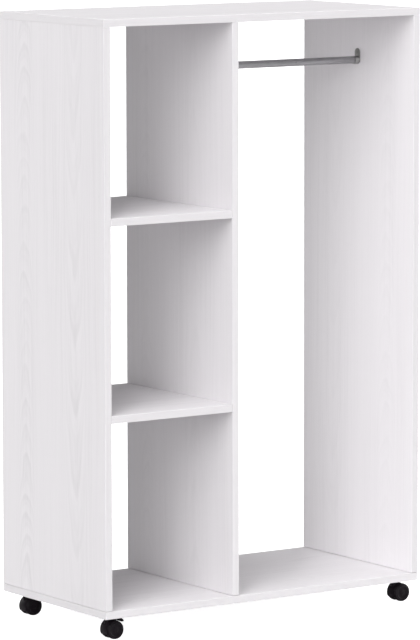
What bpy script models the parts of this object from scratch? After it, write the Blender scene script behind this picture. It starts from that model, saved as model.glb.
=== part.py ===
"""Rolling open wardrobe: two bays between full-width top and bottom boards,
three cubbies on the left, a hanging rail on the right, four twin-wheel casters.

Metres, +Z up, front towards -Y.  Origin on the floor under the middle of the
footprint.
"""
import math

import bmesh
import bpy
from mathutils import Matrix, Vector

for ob in list(bpy.data.objects):
    bpy.data.objects.remove(ob, do_unlink=True)

# ---------------------------------------------------------------- dimensions
WIDTH = 0.800              # overall, X
DEPTH = 0.400              # overall, Y
BOARD = 0.016              # board thickness
CASTER_H = 0.049           # floor to the underside of the bottom board
CUBBY_H = 0.389            # clear height of each of the three cubbies
LEFT_BAY = 0.300           # clear width of the cubbies
GAP = 0.0003               # joint clearance between neighbouring pieces
EDGE = 0.0005              # broken edge on the boards

RAIL_R = 0.008             # hanging rail, outside radius
RAIL_WALL = 0.001
RAIL_DROP = 0.104          # rail centre below the underside of the top board
BRACKET_T = 0.0025         # bracket back plate
BRACKET_R = 0.0086         # half width of the plate, and its end radius
BRACKET_RISE = 0.0162      # upper end radius centre above the rail centre
CUP_OUT = 0.0091           # cup, outside radius
CUP_IN = 0.0083            # cup, inside radius
CUP_DEPTH = 0.0125         # cup, from the back of the plate
CUP_UP = 0.005             # cup walls above the rail centre
RAIL_SCREW_UP = 0.017      # upper bracket screw above the rail centre

STEM_X = 0.369             # caster stem axes
STEM_Y = 0.158
TRAIL = 0.0107             # wheel centre behind the stem axis, along +X
WHEEL_R = 0.0195
WHEEL_IN = 0.0062          # inner face of a wheel from the caster's middle plane
WHEEL_OUT = 0.0158         # outer face
WHEEL_N = 24
AXLE_R = 0.0025
AXLE_HALF = 0.0130
RUN = 0.0003               # running clearance
WEB_HALF = 0.0058          # hood's middle web, half thickness
FENDER_HALF = 0.0128       # hood's shell over the wheels
FENDER_IN = 0.0201
FENDER_OUT = 0.0214
FENDER_START = 95          # from just behind the top of the wheels, degrees
FENDER_END = 207           # round the leading side, to below the axle
BOSS_R = 0.0065
BOSS_LOW = 0.0315
BOSS_TOP = 0.0460
STEM_R = 0.0035            # swivel pin of the stem
STEM_LOW = 0.0262
STEM_THREAD_R = 0.0040
COLLAR_LOW = 0.0463        # six-sided collar of the stem, under the board
LEVER_U = 0.0035           # brake pivot from the wheel centre
LEVER_V = 0.0216
LEVER_HALF = 0.0128
LEVER_PRESS = math.radians(8)   # travel of the brake
SHOE_FROM = 0.0040         # brake block under the lever, from the pivot
SHOE_TO = 0.0105
SHOE_AIR = 0.0004          # left between the block and the treads when pressed
TONGUE_HALF = 0.0030
TRUNNION_R = 0.00145
TRUNNION_HALF = 0.0054

SCREW_LEN = 0.050          # one-piece connector screw
SCREW_HEAD_R = 0.0050
SCREW_R = 0.0033
SCREW_SUNK = 0.0004        # head below the board's face
JOINT_Y = 0.150            # fasteners in front of and behind the middle
CAM_IN = 0.034             # cam centre from the end of the shelf
CAM_R = 0.0073
CAM_H = 0.0122
CAM_POCKET = 0.0128
BOLT_INTO = 0.0110         # cam bolt into the side panel

# derived levels
Z0 = CASTER_H
Z_FLOOR = Z0 + BOARD                        # top of the bottom board
Z_LOW = Z_FLOOR + CUBBY_H                   # underside of the lower shelf
Z_UP = Z_LOW + BOARD + CUBBY_H              # underside of the upper shelf
Z_CEIL = Z_UP + BOARD + CUBBY_H             # underside of the top board
HEIGHT = Z_CEIL + BOARD
X_IN = WIDTH / 2 - BOARD                    # inner face of the side panels
X_DIV0 = -X_IN + LEFT_BAY                   # divider, left and right faces
X_DIV1 = X_DIV0 + BOARD
X_DIV = (X_DIV0 + X_DIV1) / 2
X_SIDE = WIDTH / 2 - BOARD / 2
Z_RAIL = Z_CEIL - RAIL_DROP


# ----------------------------------------------------------------- materials
def finish(name, colour, rough, metal=0.0):
    mat = bpy.data.materials.new(name)
    mat.use_nodes = True
    bsdf = mat.node_tree.nodes["Principled BSDF"]
    bsdf.inputs["Base Color"].default_value = (*colour, 1.0)
    bsdf.inputs["Roughness"].default_value = rough
    bsdf.inputs["Metallic"].default_value = metal
    mat.diffuse_color = (*colour, 1.0)
    return mat


WHITE_BOARD = finish("white_grained_board", (0.82, 0.81, 0.82), 0.45)
RAIL_METAL = finish("rail_plated_steel", (0.46, 0.46, 0.47), 0.22, 1.0)
BRACKET_METAL = finish("bracket_zinc", (0.34, 0.34, 0.35), 0.38, 1.0)
STEEL = finish("fastener_steel", (0.55, 0.55, 0.56), 0.35, 1.0)
CAM_ZINC = finish("cam_zinc", (0.48, 0.48, 0.50), 0.45, 1.0)
BLACK_SHELL = finish("caster_black_shell", (0.022, 0.022, 0.023), 0.42)
BLACK_WHEEL = finish("caster_black_wheel", (0.030, 0.030, 0.031), 0.50)


# ------------------------------------------------------------------- helpers
def link(name, mesh, mat=None, at=(0, 0, 0), turn=None, smooth=False, parent=None):
    """One named object, its origin at `at`."""
    ob = bpy.data.objects.new(name, mesh)
    bpy.context.scene.collection.objects.link(ob)
    place = Matrix.Translation(Vector(at))
    if turn is not None:
        place = place @ turn
    if parent is not None:
        ob.parent = parent
        place = parent.matrix_world.inverted() @ place
    ob.matrix_local = place
    if mat is not None and not mesh.materials:
        mesh.materials.append(mat)
    if smooth:
        mesh.shade_smooth()
        mesh.set_sharp_from_angle(angle=math.radians(34))
    return ob


def guide(name, mesh, at=(0, 0, 0), turn=None):
    """A cutting or joining shape that isn't a piece of the object."""
    ob = link(name, mesh, at=at, turn=turn)
    ob.hide_render = True
    ob.display_type = "WIRE"
    return ob


def pivot(name, at):
    ob = bpy.data.objects.new(name, None)
    bpy.context.scene.collection.objects.link(ob)
    ob.location = at
    bpy.context.view_layer.update()
    return ob


def to_mesh(name, bm):
    bmesh.ops.recalc_face_normals(bm, faces=bm.faces[:])
    mesh = bpy.data.meshes.new(name)
    bm.to_mesh(mesh)
    bm.free()
    return mesh


def box_mesh(name, size, centre=(0, 0, 0)):
    bm = bmesh.new()
    bmesh.ops.create_cube(bm, size=1.0)
    bmesh.ops.scale(bm, vec=Vector(size), verts=bm.verts[:])
    bmesh.ops.translate(bm, vec=Vector(centre), verts=bm.verts[:])
    return to_mesh(name, bm)


def add_turned(bm, rings, n, move=None, phase=0.0, tube=False):
    """A turned solid about local Z: rings of (radius, height).  A radius may be
    a list of n radii, and a radius of 0 is a pole."""
    loops = []
    for radius, height in rings:
        if not isinstance(radius, (list, tuple)) and radius == 0:
            loops.append([bm.verts.new((0, 0, height))])
            continue
        loop = []
        for k in range(n):
            r = radius[k] if isinstance(radius, (list, tuple)) else radius
            a = phase + 2 * math.pi * k / n
            loop.append(bm.verts.new((r * math.cos(a), r * math.sin(a), height)))
        loops.append(loop)
    pairs = list(zip(loops, loops[1:]))
    if tube:
        pairs.append((loops[-1], loops[0]))
    for low, high in pairs:
        for k in range(n):
            j = (k + 1) % n
            if len(low) == 1:
                bm.faces.new((low[0], high[j], high[k]))
            elif len(high) == 1:
                bm.faces.new((low[k], low[j], high[0]))
            else:
                bm.faces.new((low[k], low[j], high[j], high[k]))
    if not tube:
        for loop in (loops[0], loops[-1]):
            if len(loop) > 1:
                bm.faces.new(loop)
    if move is not None:
        verts = [v for loop in loops for v in loop]
        bmesh.ops.transform(bm, matrix=move, verts=verts)


def turned_mesh(name, rings, n, move=None, phase=0.0, tube=False):
    bm = bmesh.new()
    add_turned(bm, rings, n, move, phase, tube)
    return to_mesh(name, bm)


def add_prism(bm, outline, low, high, frame):
    """A straight prism: outline points (a, b), from low to high along the third
    axis, set in place by frame(a, b, c)."""
    bottom = [bm.verts.new(frame(a, b, low)) for a, b in outline]
    top = [bm.verts.new(frame(a, b, high)) for a, b in outline]
    bm.faces.new(bottom)
    bm.faces.new(list(reversed(top)))
    for k in range(len(outline)):
        j = (k + 1) % len(outline)
        bm.faces.new((bottom[k], top[k], top[j], bottom[j]))


def prism_mesh(name, outline, low, high, frame):
    bm = bmesh.new()
    add_prism(bm, outline, low, high, frame)
    return to_mesh(name, bm)


def arc(cx, cy, r, a0, a1, n):
    """n + 1 points on a circle, from angle a0 to a1 in degrees."""
    pts = []
    for k in range(n + 1):
        a = math.radians(a0 + (a1 - a0) * k / n)
        pts.append((cx + r * math.cos(a), cy + r * math.sin(a)))
    return pts


def hull(points):
    """Convex outline round the points, counter-clockwise."""
    pts = sorted(set((round(x, 9), round(y, 9)) for x, y in points))

    def half(seq):
        out = []
        for p in seq:
            while len(out) > 1 and ((out[-1][0] - out[-2][0]) * (p[1] - out[-2][1])
                                    - (out[-1][1] - out[-2][1]) * (p[0] - out[-2][0])) <= 1e-13:
                out.pop()
            out.append(p)
        return out

    return half(pts)[:-1] + half(pts[::-1])[:-1]


def boolean(ob, tool, operation="DIFFERENCE"):
    mod = ob.modifiers.new(tool.name, "BOOLEAN")
    mod.operation = operation
    mod.object = tool
    mod.solver = "EXACT"


def settled(ob, name):
    """The object's mesh with its modifiers worked in; the object goes away."""
    bpy.context.view_layer.update()
    mesh = bpy.data.meshes.new_from_object(ob.evaluated_get(bpy.context.evaluated_depsgraph_get()))
    mesh.name = name
    tools = [m.object for m in ob.modifiers if m.type == "BOOLEAN"]
    bpy.data.objects.remove(ob, do_unlink=True)
    for tool in tools:
        bpy.data.objects.remove(tool, do_unlink=True)
    return mesh


def aim(direction):
    return Vector((0, 0, 1)).rotation_difference(Vector(direction)).to_matrix().to_4x4()


def xz(a, b, c):
    return (a, c, b)


def hexagon(flat):
    """Twelve radii that draw a hexagon with this distance to its flats."""
    return [flat / math.cos(math.pi / 6) if k % 2 == 0 else flat for k in range(12)]


def cross(long, short):
    """Sixteen radii that draw a four-armed recess."""
    arms = {0: long, 1: short * 1.25, 2: short, 3: short * 1.25}
    return [arms[k % 4] for k in range(16)]


carcass = pivot("carcass", (0, 0, 0))


# -------------------------------------------------------------------- boards
def board(name, low, high):
    low, high = Vector(low), Vector(high)
    size = high - low
    ob = link(name, box_mesh(name, size), WHITE_BOARD, at=(low + high) / 2, parent=carcass)
    bev = ob.modifiers.new("edge_break", "BEVEL")
    bev.width = EDGE
    bev.segments = 1
    bev.limit_method = "ANGLE"
    return ob


HW, HD = WIDTH / 2, DEPTH / 2
top_panel = board("top_panel", (-HW, -HD, Z_CEIL), (HW, HD, HEIGHT))
bottom_panel = board("bottom_panel", (-HW, -HD, Z0), (HW, HD, Z_FLOOR))
left_side = board("left_side_panel", (-HW, -HD, Z_FLOOR + GAP), (-X_IN, HD, Z_CEIL - GAP))
right_side = board("right_side_panel", (X_IN, -HD, Z_FLOOR + GAP), (HW, HD, Z_CEIL - GAP))
divider = board("center_divider", (X_DIV0, -HD, Z_FLOOR + GAP), (X_DIV1, HD, Z_CEIL - GAP))
lower_shelf = board("lower_shelf", (-X_IN + GAP, -HD, Z_LOW), (X_DIV0 - GAP, HD, Z_LOW + BOARD))
upper_shelf = board("upper_shelf", (-X_IN + GAP, -HD, Z_UP), (X_DIV0 - GAP, HD, Z_UP + BOARD))

# ---------------------------------------------------------- connector screws
screw_mesh = turned_mesh("connector_screw", [
    (0, 0.0036),
    (hexagon(0.0020), 0.0032),
    (hexagon(0.0020), SCREW_SUNK),
    (SCREW_HEAD_R, SCREW_SUNK),
    (SCREW_R, 0.0030),
    (SCREW_R, SCREW_LEN - 0.006),
    (0, SCREW_LEN)], 12)


def screw_bore(bm, at, direction):
    """Clearance for one connector screw: stepped mouth, then a straight hole."""
    c = GAP
    add_turned(bm, [
        (SCREW_HEAD_R + c, -0.002),
        (SCREW_HEAD_R + c, SCREW_SUNK + c),
        (SCREW_R + c, 0.0030 + c),
        (SCREW_R + c, SCREW_LEN + c)], 12,
        move=Matrix.Translation(Vector(at)) @ aim(direction))


def bores(name, ob, places):
    bm = bmesh.new()
    for at, direction in places:
        screw_bore(bm, at, direction)
    boolean(ob, guide(name, to_mesh(name, bm)))


SIDES = (("left", -X_SIDE), ("center", X_DIV), ("right", X_SIDE))
ENDS = (("front", -JOINT_Y), ("back", JOINT_Y))
places = {"top": [], "bottom": []}
for level, z, down in (("top", HEIGHT, (0, 0, -1)), ("bottom", Z0, (0, 0, 1))):
    for side, x in SIDES:
        for end, y in ENDS:
            places[level].append(((x, y, z), down))
            link(f"{level}_screw_{side}_{end}", screw_mesh, STEEL, at=(x, y, z), turn=aim(down),
                 smooth=True, parent=carcass)
shelf_places = []
SHELVES = (("lower", Z_LOW + BOARD / 2), ("upper", Z_UP + BOARD / 2))
for level, z in SHELVES:
    for end, y in ENDS:
        shelf_places.append(((X_DIV1, y, z), (-1, 0, 0)))
        link(f"shelf_screw_{level}_{end}", screw_mesh, STEEL, at=(X_DIV1, y, z), turn=aim((-1, 0, 0)),
             smooth=True, parent=carcass)

bores("bores_top_panel", top_panel, places["top"])
bores("bores_bottom_panel", bottom_panel, places["bottom"])
for name, ob, x in (("left", left_side, -X_SIDE), ("center", divider, X_DIV), ("right", right_side, X_SIDE)):
    mine = [p for p in places["top"] + places["bottom"] if abs(p[0][0] - x) < 1e-6]
    bores(f"bores_{name}_upright", ob, mine)
bores("bores_divider_shelves", divider, shelf_places)
bores("bores_lower_shelf", lower_shelf, shelf_places[:2])
bores("bores_upper_shelf", upper_shelf, shelf_places[2:])

# ---------------------------------------------------- cam bolts and cam locks
bolt_mesh = turned_mesh("cam_bolt", [
    (0, -BOLT_INTO),
    (0.0027, -BOLT_INTO + 0.003),
    (0.0027, GAP),
    (0.0034, GAP + 0.0004),
    (0.0026, 0.0024),
    (0.0026, 0.0270),
    (0.0016, 0.0280),
    (0.0016, 0.0310),
    (0.0028, 0.0325),
    (0, 0.0360)], 12)

cam = link("cam_blank", turned_mesh("cam_blank", [
    (0, 0), (CAM_R, 0), (CAM_R, CAM_H), (0, CAM_H)], 20))
slot_z = BOARD / 2 - GAP
boolean(cam, guide("cam_slot", box_mesh("cam_slot", (0.0130, 0.0068, 0.0068), (-0.0027, 0, slot_z))))
boolean(cam, guide("cam_recess", turned_mesh("cam_recess", [
    (cross(0.0042, 0.0010), -0.001), (cross(0.0042, 0.0010), 0.0018), (0, 0.0030)], 16)))
cam_mesh = settled(cam, "cam_lock")

for (level, z), shelf in zip(SHELVES, (lower_shelf, upper_shelf)):
    under = z - BOARD / 2
    pockets, holes, anchors = bmesh.new(), bmesh.new(), bmesh.new()
    for end, y in ENDS:
        link(f"cam_bolt_{level}_{end}", bolt_mesh, CAM_ZINC, at=(-X_IN, y, z), turn=aim((1, 0, 0)),
             smooth=True, parent=carcass)
        link(f"cam_lock_{level}_{end}", cam_mesh, CAM_ZINC, at=(-X_IN + CAM_IN, y, under + GAP),
             smooth=True, parent=carcass)
        add_turned(pockets, [(CAM_R + GAP, -0.001), (CAM_R + GAP, CAM_POCKET)], 20,
                   move=Matrix.Translation((-X_IN + CAM_IN, y, under)))
        add_turned(holes, [(0.0034 + 0.0004, -0.002), (0.0034 + 0.0004, CAM_IN)], 12,
                   move=Matrix.Translation((-X_IN, y, z)) @ aim((1, 0, 0)))
        add_turned(anchors, [(0.0027 + GAP, -BOLT_INTO - GAP), (0.0027 + GAP, 0.002)], 12,
                   move=Matrix.Translation((-X_IN, y, z)) @ aim((1, 0, 0)))
    boolean(shelf, guide(f"pockets_{level}_shelf", to_mesh("pockets", pockets)))
    boolean(shelf, guide(f"holes_{level}_shelf", to_mesh("holes", holes)))
    boolean(left_side, guide(f"anchors_{level}_shelf", to_mesh("anchors", anchors)))

# -------------------------------------------------------------- hanging rail
rail_low = X_DIV1 + 2 * GAP + BRACKET_T
rail_high = X_IN - 2 * GAP - BRACKET_T
rail_seat = pivot("rail_seat", ((rail_low + rail_high) / 2, 0, Z_RAIL))
half = (rail_high - rail_low) / 2
link("hanging_rail", turned_mesh("hanging_rail", [
    (RAIL_R - RAIL_WALL, -half), (RAIL_R - 0.0002, -half), (RAIL_R, -half + 0.0004),
    (RAIL_R, half - 0.0004), (RAIL_R - 0.0002, half), (RAIL_R - RAIL_WALL, half)], 24,
    move=aim((1, 0, 0)), tube=True), RAIL_METAL, at=((rail_low + rail_high) / 2, 0, Z_RAIL),
    smooth=True, parent=rail_seat)

wood_screw = turned_mesh("bracket_screw", [
    (0, 0.0024),
    (cross(0.0009, 0.0004), 0.0018),
    (cross(0.0022, 0.0007), 0.0002),
    (0.0038, 0.0002),
    (0.0038, 0.0005),
    (0.0020, 0.0023),
    (0.0020, 0.0100),
    (0, 0.0138)], 16)


def yz(a, b, c):
    return (c, a, b)


plate = arc(0, BRACKET_RISE, BRACKET_R, 0, 180, 10) + arc(0, 0, BRACKET_R, 180, 360, 10)
cup = (arc(0, 0, CUP_OUT, 180, 360, 12) + [(CUP_OUT, CUP_UP), (CUP_IN, CUP_UP)]
       + arc(0, 0, CUP_IN, 360, 180, 12) + [(-CUP_IN, CUP_UP), (-CUP_OUT, CUP_UP)])
bracket = link("bracket_blank", prism_mesh("bracket_blank", plate, 0, BRACKET_T, yz))
boolean(bracket, guide("bracket_cup", prism_mesh("bracket_cup", cup, BRACKET_T / 2, CUP_DEPTH, yz)), "UNION")
sink = bmesh.new()
for up in (0, RAIL_SCREW_UP):
    add_turned(sink, [
        (0.0038 + GAP, -0.001), (0.0038 + GAP, 0.0005 + GAP), (0.0020 + GAP, 0.0023 + GAP),
        (0.0020 + GAP, 0.006)], 16,
        move=Matrix.Translation((BRACKET_T, 0, up)) @ aim((-1, 0, 0)))
boolean(bracket, guide("bracket_holes", to_mesh("bracket_holes", sink)))
bracket_mesh = settled(bracket, "rail_bracket")

TURN = Matrix.Rotation(math.pi, 4, "Z")
for side, face, out, ob in (("left", X_DIV1, 1, divider), ("right", X_IN, -1, right_side)):
    link(f"rail_bracket_{side}", bracket_mesh, BRACKET_METAL, at=(face + out * GAP, 0, Z_RAIL),
         turn=None if out > 0 else TURN, smooth=True, parent=carcass)
    pilot = bmesh.new()
    for name, up in (("lower", 0), ("upper", RAIL_SCREW_UP)):
        at = (face + out * (GAP + BRACKET_T), 0, Z_RAIL + up)
        link(f"rail_screw_{side}_{name}", wood_screw, STEEL, at=at, turn=aim((-out, 0, 0)),
             smooth=True, parent=carcass)
        add_turned(pilot, [(0.0020 + GAP, 0), (0.0020 + GAP, 0.0142)], 12,
                   move=Matrix.Translation(at) @ aim((-out, 0, 0)))
    boolean(ob, guide(f"pilots_{side}", to_mesh("pilots", pilot)))

# ------------------------------------------------------------------- casters
CX, CZ = TRAIL, WHEEL_R          # wheel centre in the caster's own X and Z


def drum(r, half_len, n, at_x, at_z):
    """A round bar along Y."""
    return turned_mesh("drum", [(r, -half_len), (r, half_len)], n,
                       move=Matrix.Translation((at_x, 0, at_z)) @ aim((0, 1, 0)), phase=math.pi / n)


def hood(with_brake):
    mid = (FENDER_IN + FENDER_OUT) / 2
    web = arc(CX, CZ, mid, FENDER_START, FENDER_END, 20) + arc(CX, CZ, 0.0065, 180, 360, 10)
    if with_brake:
        web += arc(CX, CZ, 0.0135, 35, 80, 5)
    ob = link("hood_blank", prism_mesh("hood_blank", hull(web), -WEB_HALF, WEB_HALF, xz))
    band = (arc(CX, CZ, FENDER_OUT, FENDER_START, FENDER_END, 20)
            + arc(CX, CZ, FENDER_IN, FENDER_END, FENDER_START, 20))
    boolean(ob, guide("fender", prism_mesh("fender", band, -FENDER_HALF, FENDER_HALF, xz)), "UNION")
    boss = link("boss", turned_mesh("boss", [(BOSS_R, BOSS_LOW), (BOSS_R, BOSS_TOP)], 20,
                                    phase=math.pi / 20))
    boolean(boss, guide("boss_under", drum(mid, 0.030, 40, CX, CZ)))
    boss_mesh = settled(boss, "boss")
    boolean(ob, guide("boss", boss_mesh), "UNION")
    if with_brake:
        px, pz = CX + LEVER_U, CZ + LEVER_V
        ear = hull(arc(px, pz, 0.0029, 0, 360, 16)[:-1] + arc(CX + 0.0018, CZ + 0.0140, 0.0040, 0, 360, 16)[:-1])
        boolean(ob, guide("ear", prism_mesh("ear", ear, -WEB_HALF + 0.0002, WEB_HALF - 0.0002, xz)), "UNION")
        boolean(ob, guide("lever_slot", box_mesh(
            "lever_slot", (0.0150, 2 * (TONGUE_HALF + RUN), 0.0090), (px - 0.0028 + 0.0075, 0, pz - 0.0043 + 0.0045))))
        boolean(ob, guide("trunnion_hole", drum(TRUNNION_R + RUN, 0.008, 12, px, pz)))
    boolean(ob, guide("stem_bore", turned_mesh("stem_bore", [
        (STEM_R + RUN, STEM_LOW - 2 * RUN), (STEM_R + RUN, BOSS_TOP + 0.007)], 12, phase=math.pi / 12)))
    boolean(ob, guide("axle_bore", drum(AXLE_R + RUN, 0.010, 12, CX, CZ)))
    return settled(ob, "caster_hood_braked" if with_brake else "caster_hood_plain")


hood_plain = hood(False)
hood_braked = hood(True)

stem_rings = [(0, STEM_LOW), (STEM_R, STEM_LOW + 0.0010),
              (STEM_R, COLLAR_LOW), (hexagon(0.0065), COLLAR_LOW), (hexagon(0.0065), Z0 - GAP)]
z = Z0 - GAP
stem_rings += [(STEM_THREAD_R - 0.0008, z)]
z += 0.0020
for k in range(3):
    stem_rings += [(STEM_THREAD_R, z), (STEM_THREAD_R - 0.0008, z + 0.0018)]
    z += 0.0036
stem_rings += [(0, Z0 + 0.0140)]
stem_mesh = turned_mesh("caster_stem", stem_rings, 12, phase=math.pi / 12)

axle_mesh = turned_mesh("caster_axle", [
    (0, -AXLE_HALF), (AXLE_R - 0.0004, -AXLE_HALF), (AXLE_R, -AXLE_HALF + 0.0004),
    (AXLE_R, AXLE_HALF - 0.0004), (AXLE_R - 0.0004, AXLE_HALF), (0, AXLE_HALF)], 12,
    move=aim((0, 1, 0)), phase=math.pi / 12)

# a flat of the tread stands on the floor
k = 1 / math.cos(math.pi / WHEEL_N)
wheel_mesh = turned_mesh("caster_wheel", [
    (0, AXLE_HALF + RUN),
    (AXLE_R + RUN, AXLE_HALF + RUN),
    (AXLE_R + RUN, WHEEL_IN),
    (WHEEL_R * k, WHEEL_IN),
    (WHEEL_R * k, WHEEL_OUT - 0.0012),
    ((WHEEL_R - 0.0012) * k, WHEEL_OUT),
    ((WHEEL_R - 0.0034) * k, WHEEL_OUT),
    ((WHEEL_R - 0.0042) * k, WHEEL_OUT - 0.0009),
    (0, WHEEL_OUT - 0.0009)], WHEEL_N, move=aim((0, 1, 0)), phase=math.pi / WHEEL_N)

# brake lever about its pivot: a bent pedal with a block under it, hollowed so
# that it lies along the treads when the pedal is down
shoe = []
for k in range(7):
    a = SHOE_TO + (SHOE_FROM - SHOE_TO) * k / 6
    b = math.sqrt((WHEEL_R + SHOE_AIR) ** 2 - (LEVER_U + a) ** 2) - LEVER_V
    shoe.append((a * math.cos(LEVER_PRESS) - b * math.sin(LEVER_PRESS),
                 a * math.sin(LEVER_PRESS) + b * math.cos(LEVER_PRESS)))
pedal = shoe + [
    (0.0042, 0.0017), (0.0046, 0.0021), (0.0104, 0.0020), (0.0140, 0.0009), (0.0172, -0.0010),
    (0.0183, -0.0020), (0.0183, -0.0027), (0.0178, -0.0031), (0.0160, -0.0024), (0.0134, -0.0010),
    (0.0118, -0.0009)]
tongue = hull(arc(0, 0, 0.0022, 0, 360, 16)[:-1] + [(0.006, -0.0012), (0.006, 0.0016)])
lever = link("lever_blank", prism_mesh("lever_blank", pedal, -LEVER_HALF, LEVER_HALF, xz))
boolean(lever, guide("tongue", prism_mesh("tongue", tongue, -TONGUE_HALF, TONGUE_HALF, xz)), "UNION")
boolean(lever, guide("trunnion", drum(TRUNNION_R, TRUNNION_HALF, 12, 0, 0)), "UNION")
lever_mesh = settled(lever, "brake_lever")

# the wheels trail towards +X; the back right caster stands turned half round,
# so its lever points inwards
stem_holes = bmesh.new()
for fb, y in (("front", -STEM_Y), ("back", STEM_Y)):
    for lr, x in (("left", -STEM_X), ("right", STEM_X)):
        tag = f"{fb}_{lr}"
        braked = tag in ("front_left", "back_right")
        way = -1 if tag == "back_right" else 1
        turn = TURN if way < 0 else None
        swivel = pivot(f"swivel_{tag}", (x, y, 0))
        link(f"caster_stem_{tag}", stem_mesh, STEEL, at=(x, y, 0), smooth=True, parent=carcass)
        link(f"caster_hood_{tag}", hood_braked if braked else hood_plain, BLACK_SHELL, at=(x, y, 0),
             turn=turn, smooth=True, parent=swivel)
        hub = (x + way * CX, y, CZ)
        link(f"caster_axle_{tag}", axle_mesh, STEEL, at=hub, smooth=True, parent=swivel)
        link(f"caster_wheel_{tag}_rear", wheel_mesh, BLACK_WHEEL, at=hub, smooth=True, parent=swivel)
        link(f"caster_wheel_{tag}_fore", wheel_mesh, BLACK_WHEEL, at=hub, turn=TURN, smooth=True, parent=swivel)
        if braked:
            link(f"brake_lever_{tag}", lever_mesh, BLACK_SHELL,
                 at=(x + way * (CX + LEVER_U), y, CZ + LEVER_V), turn=turn, smooth=True, parent=swivel)
        add_turned(stem_holes, [(STEM_THREAD_R + GAP, Z0 - 0.002), (STEM_THREAD_R + GAP, Z0 + 0.0145)], 12,
                   move=Matrix.Translation((x, y, 0)), phase=math.pi / 12)
boolean(bottom_panel, guide("stem_holes", to_mesh("stem_holes", stem_holes)))
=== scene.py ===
"""Looks of the rolling wardrobe.

White boards with an embossed wood grain and banded edges, a plated rail in two
zinc brackets, and black moulded twin-wheel casters, on a pale studio floor.
Metres, +Z up, front towards -Y.
"""
import math

import bmesh
import bpy
from mathutils import Matrix, Vector


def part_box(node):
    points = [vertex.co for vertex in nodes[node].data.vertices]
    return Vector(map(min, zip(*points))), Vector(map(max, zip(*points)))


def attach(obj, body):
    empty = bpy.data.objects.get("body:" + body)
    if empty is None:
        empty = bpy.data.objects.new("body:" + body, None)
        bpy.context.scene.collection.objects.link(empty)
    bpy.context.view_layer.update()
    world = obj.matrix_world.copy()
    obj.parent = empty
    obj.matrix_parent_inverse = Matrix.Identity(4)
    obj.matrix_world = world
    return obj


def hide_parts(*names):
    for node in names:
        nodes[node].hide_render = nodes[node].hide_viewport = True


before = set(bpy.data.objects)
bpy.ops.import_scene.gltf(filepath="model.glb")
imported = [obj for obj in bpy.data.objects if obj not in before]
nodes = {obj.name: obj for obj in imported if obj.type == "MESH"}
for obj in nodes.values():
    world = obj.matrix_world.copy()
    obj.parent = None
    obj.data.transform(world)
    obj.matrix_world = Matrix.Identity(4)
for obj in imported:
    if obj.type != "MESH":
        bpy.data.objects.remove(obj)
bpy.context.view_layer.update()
scene = bpy.context.scene

# ---------------------------------------------------------------- dimensions
BAND = 0.0008              # edge band, thickness
BAND_ROUND = 0.00065       # rounding of its outer edges
SEAM = 0.00012             # fine groove between a band and the face foil
JOINT_LINE = 0.0005        # open line at the foot of an upright, beyond the joint clearance
JOINT_FINE = 0.0002        # the same at the ends of a shelf
JOINT_HEAD = 0.00027       # how much of the clearance the head of an upright takes up

RAIL_R = 0.008
RAIL_WALL = 0.001
Z_RAIL = 1.160
BRACKET_T = 0.0025
BRACKET_R = 0.0086
BRACKET_RISE = 0.0162
CUP_OUT = 0.0091
CUP_IN = 0.0083
CUP_DEPTH = 0.0125
CUP_UP = 0.005
RAIL_SCREW_UP = 0.017

TRAIL = 0.0107             # wheel centre behind the stem, along the caster's own X
WHEEL_R = 0.0195
WHEEL_IN = 0.0062
WHEEL_OUT = 0.0158
AXLE_R = 0.0025
AXLE_HALF = 0.0130
RUN = 0.0003
WEB_HALF = 0.0058
FENDER_HALF = 0.0128
FENDER_IN = 0.0201
FENDER_OUT = 0.0214
FENDER_START = 95
FENDER_END = 207
BOSS_R = 0.0065
BOSS_LOW = 0.0315
BOSS_TOP = 0.0460
STEM_R = 0.0035
STEM_LOW = 0.0262
COLLAR_LOW = 0.0463
COLLAR_TOP = 0.0487
LEVER_U = 0.0035
LEVER_V = 0.0216
LEVER_HALF = 0.0128
LEVER_PRESS = math.radians(8)
SHOE_FROM = 0.0040
SHOE_TO = 0.0105
SHOE_AIR = 0.0004
TONGUE_HALF = 0.0030
TRUNNION_R = 0.00145
TRUNNION_HALF = 0.0054

CAM_R = 0.0073
CAM_POCKET = 0.0128
SCREW_HEAD_R = 0.0050


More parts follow.
